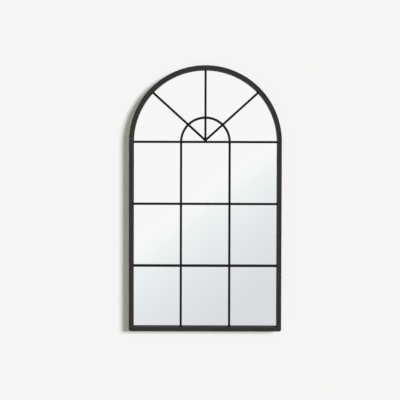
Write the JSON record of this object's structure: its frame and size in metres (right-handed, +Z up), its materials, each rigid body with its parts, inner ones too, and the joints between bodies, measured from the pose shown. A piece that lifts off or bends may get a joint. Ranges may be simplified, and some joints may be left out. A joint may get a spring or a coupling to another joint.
{
  "type": "arched window mirror",
  "caption": "Wall mirror with a half-round head, a black steel frame and window-like bars with a fan over mirror glass, hung on D-rings that turn in their straps.",
  "frame": {"origin": "midway between the two wall hooks, in the wall plane, at the height where the hooks carry the raised hanger rings", "axes": "+X to the viewer's right, +Y from the mirror into the wall, +Z up"},
  "size_m": [0.7, 0.036, 1.2199],
  "materials": {
    "frame_paint": "satin black powder coat",
    "mirror": "silvered float glass",
    "board": "hardboard, smooth side out",
    "foam": "white foam tape",
    "spacer_rubber": "matt black rubber",
    "pad_rubber": "matt dark rubber",
    "clip_steel": "bright zinc plate",
    "screw_zinc": "bright zinc plate",
    "strap_steel": "nickel plate, brushed",
    "ring_steel": "nickel plate, bright"
  },
  "bodies": {
    "mirror": {"frame_arch": "frame_paint", "frame_bottom_rail": "frame_paint", "frame_stile_left": "frame_paint", "frame_stile_right": "frame_paint", "spring_bar": "frame_paint", "cross_bar_lower": "frame_paint", "cross_bar_upper": "frame_paint", "upright_bar_left": "frame_paint", "upright_bar_right": "frame_paint", "fan_arch": "frame_paint", "fan_spoke_left": "frame_paint", "fan_spoke_centre": "frame_paint", "fan_spoke_right": "frame_paint", "foam_strip_1": "foam", "foam_strip_2": "foam", "foam_strip_3": "foam", "foam_strip_4": "foam", "edge_spacer_bottom_left": "spacer_rubber", "edge_spacer_bottom_right": "spacer_rubber", "edge_spacer_left_lower": "spacer_rubber", "edge_spacer_left_upper": "spacer_rubber", "edge_spacer_right_lower": "spacer_rubber", "edge_spacer_right_upper": "spacer_rubber", "wall_pad_lower_left": "pad_rubber", "wall_pad_lower_right": "pad_rubber", "wall_pad_upper_left": "pad_rubber", "wall_pad_upper_right": "pad_rubber", "mirror_glass": "mirror", "back_board": "board", "retaining_clips": "clip_steel", "clip_screws": "screw_zinc", "hanger_screws": "screw_zinc", "hanger_strap_left": "strap_steel", "hanger_strap_right": "strap_steel"},
    "ring_left": {"hanger_ring_left": "ring_steel"},
    "ring_right": {"hanger_ring_right": "ring_steel"}
  },
  "joints": [
    {"name": "ring_left_swing", "type": "hinge", "parent": "mirror", "child": "ring_left", "pos_m": [-0.34, -0.0034, -0.01325], "axis": [1, 0, 0], "range_deg": [0, 180]},
    {"name": "ring_right_swing", "type": "hinge", "parent": "mirror", "child": "ring_right", "pos_m": [0.34, -0.0034, -0.01325], "axis": [1, 0, 0], "range_deg": [0, 180]}
  ]
}
